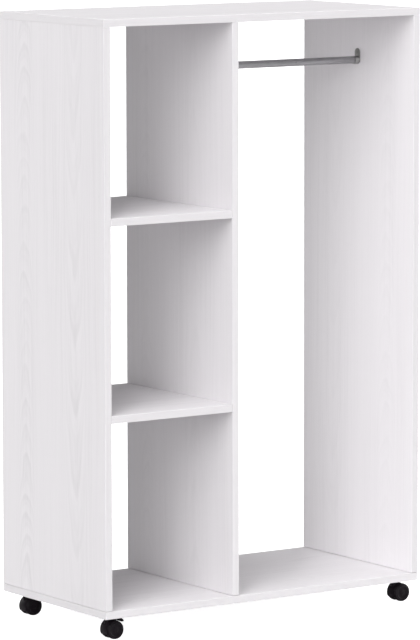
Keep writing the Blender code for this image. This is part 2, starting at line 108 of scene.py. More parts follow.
# ------------------------------------------------------------- shader helpers
class Net:
    """Short calls for building a node tree."""

    def __init__(self, tree):
        self.tree = tree

    def new(self, kind, **sets):
        node = self.tree.nodes.new("ShaderNode" + kind)
        for key, value in sets.items():
            setattr(node, key, value)
        return node

    def put(self, socket, value):
        if isinstance(value, bpy.types.NodeSocket):
            self.tree.links.new(value, socket)
        else:
            socket.default_value = value

    def math(self, op, a, b=None, c=None, clamp=False):
        node = self.new("Math", operation=op, use_clamp=clamp)
        for k, value in enumerate((a, b, c)):
            if value is not None:
                self.put(node.inputs[k], value)
        return node.outputs[0]

    def add(self, *values):
        total = values[0]
        for value in values[1:]:
            total = self.math("ADD", total, value)
        return total

    def mul(self, a, b):
        return self.math("MULTIPLY", a, b)

    def vec(self, x, y, z):
        node = self.new("CombineXYZ")
        for k, value in enumerate((x, y, z)):
            self.put(node.inputs[k], value)
        return node.outputs[0]

    def noise(self, vector, scale=1.0, detail=2.0, rough=0.5, lacunarity=2.0):
        node = self.new("TexNoise")
        self.put(node.inputs["Vector"], vector)
        node.inputs["Scale"].default_value = scale
        node.inputs["Detail"].default_value = detail
        node.inputs["Roughness"].default_value = rough
        node.inputs["Lacunarity"].default_value = lacunarity
        return node.outputs["Fac"]

    def ramp(self, value, low, high, to_low=0.0, to_high=1.0, smooth=True):
        node = self.new("MapRange", interpolation_type="SMOOTHSTEP" if smooth else "LINEAR")
        self.put(node.inputs["Value"], value)
        node.inputs["From Min"].default_value = low
        node.inputs["From Max"].default_value = high
        node.inputs["To Min"].default_value = to_low
        node.inputs["To Max"].default_value = to_high
        return node.outputs["Result"]

    def mix(self, factor, a, b):
        node = self.new("Mix", data_type="RGBA")
        self.put(node.inputs["Factor"], factor)
        self.put(node.inputs["A"], a)
        self.put(node.inputs["B"], b)
        return node.outputs["Result"]

    def bump(self, height, strength, distance):
        node = self.new("Bump")
        node.inputs["Strength"].default_value = strength
        node.inputs["Distance"].default_value = distance
        self.put(node.inputs["Height"], height)
        return node.outputs["Normal"]


def finish(name):
    mat = bpy.data.materials.new(name)
    mat.use_nodes = True
    return mat, Net(mat.node_tree), mat.node_tree.nodes["Principled BSDF"]


def axes(net):
    coords = net.new("TexCoord")
    split = net.new("SeparateXYZ")
    net.put(split.inputs[0], coords.outputs["Object"])
    return {"X": split.outputs[0], "Y": split.outputs[1], "Z": split.outputs[2]}, coords.outputs["Object"]


WHITE = (0.735, 0.716, 0.735)
GRAIN = (0.572, 0.556, 0.572)
BAND_WHITE = (0.682, 0.665, 0.682, 1.0)
BAND_GRAIN = (0.560, 0.545, 0.560, 1.0)


def board_foil(name, along, across, through, seed, columns, tone, figure):
    """White foil with a printed and embossed ash grain.  Each column is one run
    of arches: (place across, +1 or -1 for the way they point, their spacing,
    the slope of their legs, their reach to each side).  tone lightens or darkens the
    whole board as painted light and shade, set per board for the light it gets;
    figure is how strongly its arches show."""
    mat, net, bsdf = finish(name)
    axis, _ = axes(net)
    u, v, w = axis[along], axis[across], axis[through]
    u = net.add(u, net.mul(w, 17.0), seed)

    # the grain line wanders slowly across the board, with a finer waver
    drift = net.noise(net.vec(net.mul(u, 1.7), net.mul(v, 5.0), seed), 1.0, 2.0, 0.45)
    waver = net.noise(net.vec(net.mul(u, 15.0), net.mul(v, 34.0), seed + 5.5), 1.0, 2.0, 0.5)
    v_run = net.add(v, net.mul(net.math("SUBTRACT", drift, 0.5), 0.024), net.mul(net.math("SUBTRACT", waver, 0.5), 0.0055))
    # uneven years: arches stand closer and further apart
    pace = net.noise(net.vec(net.mul(u, 7.0), net.mul(v, 12.0), seed + 3.1), 1.0, 2.0, 0.5)
    pace = net.mul(net.math("SUBTRACT", pace, 0.5), 0.13)
    vigour = net.ramp(net.noise(net.vec(net.mul(u, 8.0), net.mul(v, 9.0), seed + 6.4), 1.0, 2.0, 0.5), 0.34, 0.66, 0.30, 0.80)

    arches = None
    for k, (centre, way, spacing, slope, reach) in enumerate(columns):
        off = net.math("SUBTRACT", v_run, centre)
        square = net.mul(off, off)
        leg = net.math("SQRT", net.math("ADD", square, 0.0042 ** 2))
        drop = net.add(net.mul(leg, slope), net.mul(net.mul(square, square), 65000.0))
        run = net.add(net.mul(u, float(way)), drop, pace, 0.37 * k)
        years = net.math("DIVIDE", run, spacing)
        turn = net.math("FRACT", years)
        # late wood darkens slowly and ends sharply, early wood after it is pale
        late = net.mul(net.math("POWER", turn, 2.2), net.ramp(turn, 0.86, 1.0, 1.0, 0.0))
        early = net.ramp(turn, 0.0, 0.34, 1.0, 0.0)
        between = net.math("SINE", net.mul(years, 6.0 * math.pi))
        line = net.add(net.mul(late, 1.15), net.mul(early, -0.42), net.mul(between, 0.16))
        fade = net.math("EXPONENT", net.math("DIVIDE", square, -reach * reach))
        line = net.mul(line, fade)
        arches = line if arches is None else net.add(arches, line)
    arches = net.mul(arches, vigour)

    gate = net.ramp(net.noise(net.vec(net.mul(u, 1.1), net.mul(v_run, 15.0), seed + 8.2), 1.0, 1.0, 0.5), 0.36, 0.64, 0.25, 1.0)
    streak = net.noise(net.vec(net.mul(u, 2.3), net.mul(v_run, 150.0), net.mul(w, 150.0)), 1.0, 3.0, 0.6)
    streak = net.mul(net.ramp(streak, 0.36, 0.72), gate)
    fine = net.ramp(net.noise(net.vec(net.mul(u, 3.4), net.mul(v_run, 410.0), net.mul(w, 410.0)), 1.0, 2.0, 0.5), 0.40, 0.76)
    broad = net.noise(net.vec(net.mul(u, 1.3), net.mul(v_run, 21.0), net.mul(w, 30.0)), 1.0, 2.0, 0.5)
    pores = net.noise(net.vec(net.mul(u, 38.0), net.mul(v_run, 760.0), net.mul(w, 760.0)), 1.0, 1.0, 0.5)
    pores = net.ramp(pores, 0.60, 0.72)
    # pores crowd into the dark lines
    crowd = net.math("MAXIMUM", arches, 0.0)
    pores = net.mul(pores, net.add(0.22, net.mul(crowd, 0.9), net.mul(streak, 0.45)))

    dark = net.add(0.17, net.mul(arches, 0.40 * figure), net.mul(streak, 0.08 + 0.16 * figure), net.mul(fine, 0.08),
                   net.mul(pores, 0.16 + 0.12 * figure), net.mul(net.math("SUBTRACT", broad, 0.5), 0.13))
    dark = net.math("ADD", dark, 0.0, clamp=True)
    # tone scales both colours of the board: painted light and shade
    pale = (WHITE[0] * tone, WHITE[1] * tone, WHITE[2] * tone, 1.0)
    deep = (GRAIN[0] * tone, GRAIN[1] * tone, GRAIN[2] * tone, 1.0)
    net.put(bsdf.inputs["Base Color"], net.mix(dark, pale, deep))
    net.put(bsdf.inputs["Roughness"], net.ramp(net.add(pores, net.mul(streak, 0.4)), 0.0, 1.2, 0.44, 0.60, smooth=False))
    depth = net.math("MULTIPLY", net.add(net.mul(pores, 0.8), net.mul(crowd, 0.6 * figure), net.mul(streak, 0.25), net.mul(fine, 0.2)), -1.0)
    net.put(bsdf.inputs["Normal"], net.bump(depth, 0.35, 0.00012))
    bsdf.inputs["Specular IOR Level"].default_value = 0.42
    return mat


def band_foil(name, along, seed, tone=1.0):
    """Edge band: the same foil with straight grain along its length."""
    mat, net, bsdf = finish(name)
    axis, _ = axes(net)
    u = net.add(axis[along], seed)
    rest = [axis[k] for k in "XYZ" if k != along]
    a, b = net.mul(rest[0], 230.0), net.mul(rest[1], 230.0)
    streak = net.ramp(net.noise(net.vec(net.mul(u, 5.0), a, b), 1.0, 3.0, 0.6), 0.38, 0.70)
    pores = net.noise(net.vec(net.mul(u, 42.0), net.mul(rest[0], 820.0), net.mul(rest[1], 820.0)), 1.0, 1.0, 0.5)
    pores = net.ramp(pores, 0.62, 0.73)
    dark = net.math("ADD", net.mul(streak, 0.17), net.mul(pores, 0.22), clamp=True)
    # tone lightens the whole band; where it is not 1 it is painted light
    pale = (BAND_WHITE[0] * tone, BAND_WHITE[1] * tone, BAND_WHITE[2] * tone, 1.0)
    deep = (BAND_GRAIN[0] * tone, BAND_GRAIN[1] * tone, BAND_GRAIN[2] * tone, 1.0)
    net.put(bsdf.inputs["Base Color"], net.mix(dark, pale, deep))
    net.put(bsdf.inputs["Roughness"], net.ramp(pores, 0.0, 1.0, 0.42, 0.55))
    net.put(bsdf.inputs["Normal"], net.bump(net.mul(net.add(pores, net.mul(streak, 0.3)), -1.0), 0.3, 0.0001))
    bsdf.inputs["Specular IOR Level"].default_value = 0.42
    return mat


def cover_plastic(name):
    """White cover caps: fine satin moulding with a slight mottle."""
    mat, net, bsdf = finish(name)
    _, place = axes(net)
    cloud = net.noise(place, 160.0, 3.0, 0.5)
    fine = net.noise(place, 2600.0, 2.0, 0.5)
    net.put(bsdf.inputs["Base Color"], net.mix(cloud, (0.735, 0.720, 0.735, 1.0), (0.70, 0.686, 0.70, 1.0)))
    net.put(bsdf.inputs["Roughness"], net.ramp(fine, 0.3, 0.7, 0.38, 0.48))
    net.put(bsdf.inputs["Normal"], net.bump(fine, 0.15, 0.00005))
    return mat


def drawn_metal(name, light, dark, rough_low, rough_high, along=None, fine=900.0, bump=0.08, metallic=1.0):
    """Plated steel: draw lines along one axis, a soft mottle and dull spots."""
    mat, net, bsdf = finish(name)
    axis, place = axes(net)
    if along:
        rest = [axis[k] for k in "XYZ" if k != along]
        lines = net.noise(net.vec(net.mul(axis[along], 6.0), net.mul(rest[0], fine), net.mul(rest[1], fine)), 1.0, 3.0, 0.6)
    else:
        lines = net.noise(place, fine, 3.0, 0.6)
    cloud = net.noise(place, 42.0, 4.0, 0.55)
    tone = net.math("ADD", net.mul(net.ramp(lines, 0.3, 0.7), 0.55), net.mul(cloud, 0.45), clamp=True)
    net.put(bsdf.inputs["Base Color"], net.mix(tone, dark, light))
    net.put(bsdf.inputs["Roughness"], net.ramp(net.add(net.mul(lines, 0.5), net.mul(cloud, 0.5)), 0.3, 0.7, rough_low, rough_high))
    net.put(bsdf.inputs["Normal"], net.bump(lines, bump, 0.00005))
    bsdf.inputs["Metallic"].default_value = metallic
    return mat


def moulded_black(name, base, lift, rough_low, rough_high, texture, bump, gloss):
    """Black moulded plastic: spark-eroded texture, rubbed a little lighter in places."""
    mat, net, bsdf = finish(name)
    _, place = axes(net)
    grit = net.noise(place, texture, 3.0, 0.6)
    rub = net.noise(place, 95.0, 3.0, 0.55)
    tone = net.math("ADD", net.mul(net.ramp(rub, 0.42, 0.75), 0.7), net.mul(grit, 0.3), clamp=True)
    net.put(bsdf.inputs["Base Color"], net.mix(tone, base, lift))
    net.put(bsdf.inputs["Roughness"], net.ramp(net.add(net.mul(grit, 0.5), net.mul(rub, 0.5)), 0.3, 0.7, rough_low, rough_high))
    net.put(bsdf.inputs["Normal"], net.bump(grit, bump, 0.0001))
    bsdf.inputs["Specular IOR Level"].default_value = gloss
    return mat


RAIL_METAL = drawn_metal("rail_plated_steel", (0.425, 0.423, 0.436, 1), (0.308, 0.306, 0.317, 1), 0.26, 0.36, along="X")
ZINC = drawn_metal("bracket_zinc", (0.333, 0.331, 0.322, 1), (0.202, 0.200, 0.195, 1), 0.34, 0.50, fine=520.0)
# the cup is the same zinc as the plate, drawn lighter and less metallic: painted light on the cup
CUP_ZINC_PAINTED_LIGHT = drawn_metal("bracket_cup_zinc_painted_light", (0.432, 0.428, 0.426, 1), (0.312, 0.309, 0.307, 1), 0.30, 0.44, fine=520.0, metallic=0.55)
STEEL = drawn_metal("fastener_zinc", (0.62, 0.62, 0.61, 1), (0.44, 0.44, 0.45, 1), 0.28, 0.42, fine=700.0)
BLACK_SHELL = moulded_black("caster_shell_black", (0.0038, 0.0020, 0.0039, 1), (0.0086, 0.0052, 0.0088, 1), 0.34, 0.50, 1900.0, 0.12, 0.14)
BLACK_WHEEL = moulded_black("caster_wheel_black", (0.0030, 0.0012, 0.0031, 1), (0.0072, 0.0040, 0.0074, 1), 0.30, 0.46, 1300.0, 0.14, 0.19)
COVER = cover_plastic("cover_cap_white")


# --------------------------------------------------------------- mesh helpers
def close(bm, name):
    bmesh.ops.recalc_face_normals(bm, faces=bm.faces[:])
    mesh = bpy.data.meshes.new(name)
    bm.to_mesh(mesh)
    bm.free()
    return mesh


def turned(bm, rings, n, place=None, phase=0.0, tube=False):
    """A turned solid about local Z.  A ring's radius is a number or a function
    of the angle, and 0 is a pole."""
    loops = []
    for radius, height in rings:
        if radius == 0:
            loops.append([bm.verts.new((0, 0, height))])
            continue
        loop = []
        for k in range(n):
            a = phase + 2 * math.pi * k / n
            r = radius(a) if callable(radius) else radius
            loop.append(bm.verts.new((r * math.cos(a), r * math.sin(a), height)))
        loops.append(loop)
    pairs = list(zip(loops, loops[1:]))
    if tube:
        pairs.append((loops[-1], loops[0]))
    for low, high in pairs:
        for k in range(n):
            j = (k + 1) % n
            if len(low) == 1:
                bm.faces.new((low[0], high[j], high[k]))
            elif len(high) == 1:
                bm.faces.new((low[k], low[j], high[0]))
            else:
                bm.faces.new((low[k], low[j], high[j], high[k]))
    if not tube:
        for loop in (loops[0], loops[-1]):
            if len(loop) > 1:
                bm.faces.new(loop)
    if place is not None:
        bmesh.ops.transform(bm, matrix=place, verts=[v for loop in loops for v in loop])


def turned_mesh(name, rings, n, place=None, phase=0.0, tube=False):
    bm = bmesh.new()
    turned(bm, rings, n, place, phase, tube)
    return close(bm, name)


def ease(bm, width, segments=2, over=40.0):
    """Rounds every edge sharper than `over` degrees."""
    bmesh.ops.recalc_face_normals(bm, faces=bm.faces[:])
    edges = [e for e in bm.edges if e.is_manifold and e.calc_face_angle(0.0) > math.radians(over)]
    bmesh.ops.bevel(bm, geom=edges, offset=width, offset_type="OFFSET", segments=segments,
                    profile=0.5, affect="EDGES", clamp_overlap=True)


def prism_mesh(name, outline, low, high, put, round_by=0.0, segments=2):
    bm = bmesh.new()
    bottom = [bm.verts.new(put(a, b, low)) for a, b in outline]
    top = [bm.verts.new(put(a, b, high)) for a, b in outline]
    bm.faces.new(bottom)
    bm.faces.new(list(reversed(top)))
    for k in range(len(outline)):
        j = (k + 1) % len(outline)
        bm.faces.new((bottom[k], top[k], top[j], bottom[j]))
    if round_by:
        ease(bm, round_by, segments)
    return close(bm, name)


def block_mesh(name, low, high, round_by=0.0):
    bm = bmesh.new()
    low, high = Vector(low), Vector(high)
    bmesh.ops.create_cube(bm, size=1.0)
    bmesh.ops.scale(bm, vec=high - low, verts=bm.verts[:])
    bmesh.ops.translate(bm, vec=(low + high) / 2, verts=bm.verts[:])
    if round_by:
        ease(bm, round_by)
    return close(bm, name)


def arc(cx, cy, r, a0, a1, n):
    pts = []
    for k in range(n + 1):
        a = math.radians(a0 + (a1 - a0) * k / n)
        pts.append((cx + r * math.cos(a), cy + r * math.sin(a)))
    return pts


def hull(points):
    pts = sorted(set((round(x, 9), round(y, 9)) for x, y in points))

    def half(seq):
        out = []
        for p in seq:
            while len(out) > 1 and ((out[-1][0] - out[-2][0]) * (p[1] - out[-2][1])
                                    - (out[-1][1] - out[-2][1]) * (p[0] - out[-2][0])) <= 1e-13:
                out.pop()
            out.append(p)
        return out

    return half(pts)[:-1] + half(pts[::-1])[:-1]


def aim(direction):
    return Vector((0, 0, 1)).rotation_difference(Vector(direction)).to_matrix().to_4x4()


def hexagon(flat, cap=None):
    """Radius of a hexagon with this distance to its flats, its corners turned
    off at the radius `cap`."""
    def radius(a):
        r = flat / math.cos((a % (math.pi / 3)) - math.pi / 6)
        return min(r, cap) if cap else r
    return radius


def cross(long, half):
    """Radius of a four-armed recess: arm length and half width."""
    def radius(a):
        b = (a + math.pi / 4) % (math.pi / 2) - math.pi / 4
        return min(long / math.cos(b), max(half / max(abs(math.sin(b)), 1e-6), half * 1.35))
    return radius


def worked(mesh, *steps):
    """The mesh after cutting away ("DIFFERENCE") or joining on ("UNION") others."""
    scratch = bpy.data.objects.new("blank", mesh)
    scene.collection.objects.link(scratch)
    tools = []
    for how, tool in steps:
        ob = bpy.data.objects.new("tool", tool)
        scene.collection.objects.link(ob)
        tools.append(ob)
        mod = scratch.modifiers.new("step", "BOOLEAN")
        mod.operation, mod.object, mod.solver = how, ob, "EXACT"
    bpy.context.view_layer.update()
    out = bpy.data.meshes.new_from_object(scratch.evaluated_get(bpy.context.evaluated_depsgraph_get()))
    out.name = mesh.name
    for ob in [scratch] + tools:
        bpy.data.objects.remove(ob, do_unlink=True)
    bm = bmesh.new()
    bm.from_mesh(out)
    bmesh.ops.remove_doubles(bm, verts=bm.verts[:], dist=2e-6)
    bmesh.ops.dissolve_degenerate(bm, edges=bm.edges[:], dist=2e-6)
    bm.to_mesh(out)
    bm.free()
    return out


def piece(name, mesh, mats, body, stands_for=(), place=None, smooth=None):
    if not mesh.materials:
        for mat in mats:
            mesh.materials.append(mat)
    if smooth is not None:
        mesh.shade_smooth()
        mesh.set_sharp_from_angle(angle=math.radians(smooth))
    ob = bpy.data.objects.new(name, mesh)
    scene.collection.objects.link(ob)
    if place is not None:
        ob.matrix_world = place
    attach(ob, body)
    if stands_for:
        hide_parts(*stands_for)
    return ob


# --------------------------------------------------------------------- boards
AXIS = {"X": 0, "Y": 1, "Z": 2}


def box_faces(bm, low, high, index):
    """A box in bm; returns its edges."""
    made = bmesh.ops.create_cube(bm, size=1.0)["verts"]
    bmesh.ops.scale(bm, vec=high - low, verts=made)
    bmesh.ops.translate(bm, vec=(low + high) / 2, verts=made)
    faces = {f for v in made for f in v.link_faces}
    for f in faces:
        f.material_index = index
    return {e for v in made for e in v.link_edges}


def lies(edge, k, value):
    return all(abs(v.co[k] - value) < 1e-7 for v in edge.verts)


def round_edges(bm, edges, width, segments):
    bmesh.ops.bevel(bm, geom=list(edges), offset=width, offset_type="OFFSET", segments=segments,
                    profile=0.5, affect="EDGES", clamp_overlap=True)


def board_mesh(node, along, ends, pockets=()):
    """A faced core with a band on its front and back edges, and on its ends
    where they show.  pockets: (centre, direction, radius, depth)."""
    low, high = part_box(node)
    k = AXIS[along]
    if not ends:
        low, high = low.copy(), high.copy()
        low[k] += JOINT_LINE if along == "Z" else JOINT_FINE
        high[k] += JOINT_HEAD if along == "Z" else -JOINT_FINE
    core_low, core_high = low.copy(), high.copy()
    core_low.y += BAND
    core_high.y -= BAND
    if ends:
        core_low[k] += BAND
        core_high[k] -= BAND
    bm = bmesh.new()
    edges = box_faces(bm, core_low, core_high, 0)
    rim = [e for e in edges if sum((lies(e, 1, core_low.y), lies(e, 1, core_high.y))) or
           sum((lies(e, k, core_low[k]), lies(e, k, core_high[k])))]
    round_edges(bm, rim, SEAM, 1)
    mesh = close(bm, node)
    if pockets:
        cut = bmesh.new()
        for centre, direction, radius, depth in pockets:
            turned(cut, [(radius + 0.0004, -0.0006), (radius, 0.0003), (radius, depth), (0, depth + 0.0008)], 48,
                   Matrix.Translation(Vector(centre)) @ aim(direction))
        mesh = worked(mesh, ("DIFFERENCE", close(cut, "pockets")))
    bm = bmesh.new()
    bm.from_mesh(mesh)
    for side in (0, 1):
        a, b = low.copy(), high.copy()
        if side:
            a.y = high.y - BAND + 0.00002
        else:
            b.y = low.y + BAND - 0.00002
        outer = high.y if side else low.y
        edges = box_faces(bm, a, b, 1)
        round_edges(bm, [e for e in edges if lies(e, 1, outer)], BAND_ROUND, 3)
    if ends:
        for side in (0, 1):
            a, b = core_low.copy(), core_high.copy()
            a.y += 0.00002
            b.y -= 0.00002
            if side:
                a[k], b[k] = high[k] - BAND + 0.00002, high[k]
            else:
                a[k], b[k] = low[k], low[k] + BAND - 0.00002
            outer = high[k] if side else low[k]
            edges = box_faces(bm, a, b, 2)
            long_edges = [e for e in edges if lies(e, k, outer) and abs(e.verts[0].co.y - e.verts[1].co.y) > 0.01]
            round_edges(bm, long_edges, BAND_ROUND, 3)
    return close(bm, node)


BAND_MATS = {k: band_foil(f"edge_band_{k.lower()}", k, s) for k, s in (("X", 0.31), ("Y", 1.73), ("Z", 2.57))}
# a shade lighter for the divider and the bottom: painted light, tuned to the levels measured in the picture
OTHER_BANDS = {"center_divider": band_foil("edge_band_divider", "Z", 4.19, 1.03),
               "bottom_panel": band_foil("edge_band_bottom", "X", 5.83, 1.03)}


def connector_pockets(level):
    spots = []
    for side in ("left", "center", "right"):
        for end in ("front", "back"):
            a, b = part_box(f"{level}_screw_{side}_{end}")
            spots.append((a + b) / 2)
    return spots


floor_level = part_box("bottom_panel")[0].z
bottom_pockets = [((p.x, p.y, floor_level), (0, 0, 1), SCREW_HEAD_R + 0.0003, 0.0034) for p in connector_pockets("bottom")]


def cam_pockets(level):
    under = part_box(f"{level}_shelf")[0].z
    out = []
    for end in ("front", "back"):
        a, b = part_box(f"cam_lock_{level}_{end}")
        out.append((((a.x + b.x) / 2, (a.y + b.y) / 2, under), (0, 0, 1), CAM_R + 0.0003, CAM_POCKET))
    return out


# board, grain along, through, banded ends, seed, arches, tone (painted light and shade: each board lighter or darker
# for the light it gets), figure, pockets
BOARDS = (
    ("left_side_panel", "Z", "X", False, 0.00,
     ((0.104, 1, 0.058, 1.15, 0.031), (-0.087, -1, 0.150, 3.2, 0.033)), 1.0, 1.10, ()),
    ("right_side_panel", "Z", "X", False, 2.31,
     ((0.082, -1, 0.140, 3.0, 0.032), (-0.104, 1, 0.063, 1.25, 0.030)), 1.065, 0.40, ()),
    ("center_divider", "Z", "X", False, 4.77,
     ((0.120, 1, 0.060, 1.20, 0.030), (-0.060, 1, 0.150, 3.1, 0.032)), 0.945, 0.36, ()),
    ("top_panel", "X", "Z", True, 7.13,
     ((0.095, 1, 0.062, 1.20, 0.030), (-0.092, -1, 0.150, 3.1, 0.032)), 1.075, 0.70, ()),
    ("bottom_panel", "X", "Z", True, 9.41,
     ((0.070, -1, 0.145, 3.0, 0.032), (-0.118, 1, 0.060, 1.15, 0.030)), 1.055, 0.55, bottom_pockets),
    ("lower_shelf", "X", "Z", False, 11.90,
     ((0.110, 1, 0.061, 1.15, 0.030), (-0.075, -1, 0.120, 2.8, 0.032)), 1.04, 0.55, cam_pockets("lower")),
    ("upper_shelf", "X", "Z", False, 13.37,
     ((0.064, -1, 0.125, 2.9, 0.032), (-0.112, 1, 0.060, 1.20, 0.030)), 1.04, 0.55, cam_pockets("upper")),
)
for node, along, through, ends, seed, columns, tone, figure, pockets in BOARDS:
    face = board_foil(f"foil_{node}", along, "Y", through, seed, columns, tone, figure)
    piece(f"{node}_board", board_mesh(node, along, ends, pockets),
          (face, OTHER_BANDS.get(node, BAND_MATS[along]), BAND_MATS["Y"]), "wardrobe", (node,))

# ---------------------------------------------------- connector screws and caps
socket_head = turned_mesh("connector_head", [
    (0, 0.0037), (0.0012, 0.0034), (hexagon(0.00195), 0.0032), (hexagon(0.0020), 0.0007), (hexagon(0.00225), 0.0004),
    (0.0044, 0.0004), (0.0048, 0.00048), (SCREW_HEAD_R, 0.0007), (SCREW_HEAD_R - 0.0002, 0.0011),
    (0.0033, 0.0030), (0.0033, 0.0420), (0.0026, 0.0460), (0, 0.0500)], 48)
for side in ("left", "center", "right"):
    for end in ("front", "back"):
        node = f"bottom_screw_{side}_{end}"
        a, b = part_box(node)
        piece(f"{node}_fine", socket_head, (STEEL,), "wardrobe", (node,),
              Matrix.Translation(((a.x + b.x) / 2, (a.y + b.y) / 2, floor_level)), smooth=32)

cap_mesh = turned_mesh("cover_cap", [
    (0, 0.00085), (0.0018, 0.00082), (0.0036, 0.00070), (0.0050, 0.00048), (0.0058, 0.00024), (0.0060, 0.00010),
    (0.0060, 0.00004), (0.0040, 0.00003), (0, 0.00003)], 48)
for side in ("left", "center", "right"):
    for end in ("front", "back"):
        a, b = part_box(f"top_screw_{side}_{end}")
        piece(f"cover_cap_top_{side}_{end}", cap_mesh, (COVER,), "wardrobe",
              place=Matrix.Translation(((a.x + b.x) / 2, (a.y + b.y) / 2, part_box("top_panel")[1].z)), smooth=40)
for level in ("lower", "upper"):
    for end in ("front", "back"):
        a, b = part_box(f"shelf_screw_{level}_{end}")
        piece(f"cover_cap_{level}_{end}", cap_mesh, (COVER,), "wardrobe",
              place=Matrix.Translation((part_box("center_divider")[1].x, (a.y + b.y) / 2, (a.z + b.z) / 2)) @ aim((1, 0, 0)),
              smooth=40)

# ------------------------------------------------------------------ cam locks
cam_mesh = turned_mesh("cam_lock_fine", [
    (0, 0.0034), (cross(0.0016, 0.0007), 0.0028), (cross(0.0042, 0.0011), 0.0004), (cross(0.0046, 0.0014), 0.0002),
    (0.0055, 0.0002), (0.0058, 0.0), (0.0068, 0.0), (CAM_R - 0.0002, 0.0002), (CAM_R, 0.0005), (CAM_R, 0.0118),
    (CAM_R - 0.0004, 0.0122), (0, 0.0122)], 64)
for level in ("lower", "upper"):
    for end in ("front", "back"):
        node = f"cam_lock_{level}_{end}"
        a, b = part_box(node)
        piece(f"{node}_fine", cam_mesh, (ZINC,), "wardrobe", (node,),
              Matrix.Translation(((a.x + b.x) / 2, (a.y + b.y) / 2, a.z)) @ Matrix.Rotation(0.55 if end == "front" else 0.2, 4, "Z"),
              smooth=32)

# --------------------------------------------------------------- hanging rail
low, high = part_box("hanging_rail")
half = (high.x - low.x) / 2
lip = [(RAIL_R - RAIL_WALL, -half + 0.0004), (RAIL_R - RAIL_WALL * 0.85, -half + 0.0001), (RAIL_R - RAIL_WALL * 0.55, -half),
       (RAIL_R - 0.0003, -half + 0.0001), (RAIL_R - 0.0001, -half + 0.0003), (RAIL_R, -half + 0.0007)]
steps = [(RAIL_R, -half + 0.0007 + (2 * half - 0.0014) * k / 12) for k in range(1, 12)]
inner = [(RAIL_R - RAIL_WALL, h) for _, h in reversed(steps)]
rail_rings = lip + steps + [(r, -h) for r, h in reversed(lip)] + inner
piece("hanging_rail_tube", turned_mesh("hanging_rail_tube", rail_rings, 72, aim((1, 0, 0)), tube=True), (RAIL_METAL,),
      "rail", ("hanging_rail",), Matrix.Translation(((low.x + high.x) / 2, 0, Z_RAIL)), smooth=40)


def yz(a, b, c):
    return (c, a, b)


plate = arc(0, BRACKET_RISE, BRACKET_R, 0, 180, 32) + arc(0, 0, BRACKET_R, 180, 360, 32)
cup = (arc(0, 0, CUP_OUT, 180, 360, 36) + [(CUP_OUT, CUP_UP), (CUP_IN, CUP_UP)]
       + arc(0, 0, CUP_IN, 360, 180, 36) + [(-CUP_IN, CUP_UP), (-CUP_OUT, CUP_UP)])
sink = bmesh.new()
for up in (0, RAIL_SCREW_UP):
    turned(sink, [(0.0042, -0.0002), (0.0041, 0.0003), (0.0023, 0.0023), (0.0023, 0.006)], 40,
           Matrix.Translation((BRACKET_T, 0, up)) @ aim((-1, 0, 0)))
bracket_mesh = worked(
    prism_mesh("rail_bracket_fine", plate, 0, BRACKET_T, yz, 0.0005, 3),
    ("UNION", prism_mesh("cup", cup, BRACKET_T * 0.4, CUP_DEPTH, yz, 0.00035, 2)),
    ("DIFFERENCE", close(sink, "sink")))
bracket_mesh.materials.clear()
for mat in (ZINC, CUP_ZINC_PAINTED_LIGHT):
    bracket_mesh.materials.append(mat)
# the cup's faces take the lighter copy of the zinc, which is painted light
for face in bracket_mesh.polygons:
    face.material_index = 1 if face.center.x > BRACKET_T + 0.0001 else 0
screw_mesh = turned_mesh("bracket_screw_fine", [
    (0, 0.0020), (cross(0.0008, 0.0004), 0.0016), (cross(0.0020, 0.0006), -0.0001), (cross(0.0023, 0.0008), -0.00025),
    (0.0029, -0.0002), (0.0035, 0.00005), (0.0038, 0.0003), (0.0037, 0.0006), (0.0020, 0.0023), (0.0020, 0.0100),
    (0, 0.0138)], 64)
TURN = Matrix.Rotation(math.pi, 4, "Z")
for side in ("left", "right"):
    out = 1 if side == "left" else -1
    node = f"rail_bracket_{side}"
    low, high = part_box(node)
    back = low.x if out > 0 else high.x
    place = Matrix.Translation((back, 0, Z_RAIL))
    piece(f"{node}_fine", bracket_mesh, (ZINC, CUP_ZINC_PAINTED_LIGHT), "wardrobe", (node,), place if out > 0 else place @ TURN, smooth=36)
    for name, up, turn in (("lower", 0, 0.3), ("upper", RAIL_SCREW_UP, 0.75)):
        node = f"rail_screw_{side}_{name}"
        piece(f"{node}_fine", screw_mesh, (ZINC,), "wardrobe", (node,),
              Matrix.Translation((back + out * BRACKET_T, 0, Z_RAIL + up)) @ aim((-out, 0, 0)) @ Matrix.Rotation(turn, 4, "Z"),
              smooth=32)

# -------------------------------------------------------------------- casters
CX, CZ = TRAIL, WHEEL_R


def xz(a, b, c):
    return (a, c, b)


def drum(r, half_len, n, at_x, at_z):
    return turned_mesh("drum", [(r, -half_len), (r, half_len)], n,
                       Matrix.Translation((at_x, 0, at_z)) @ aim((0, 1, 0)), math.pi / n)


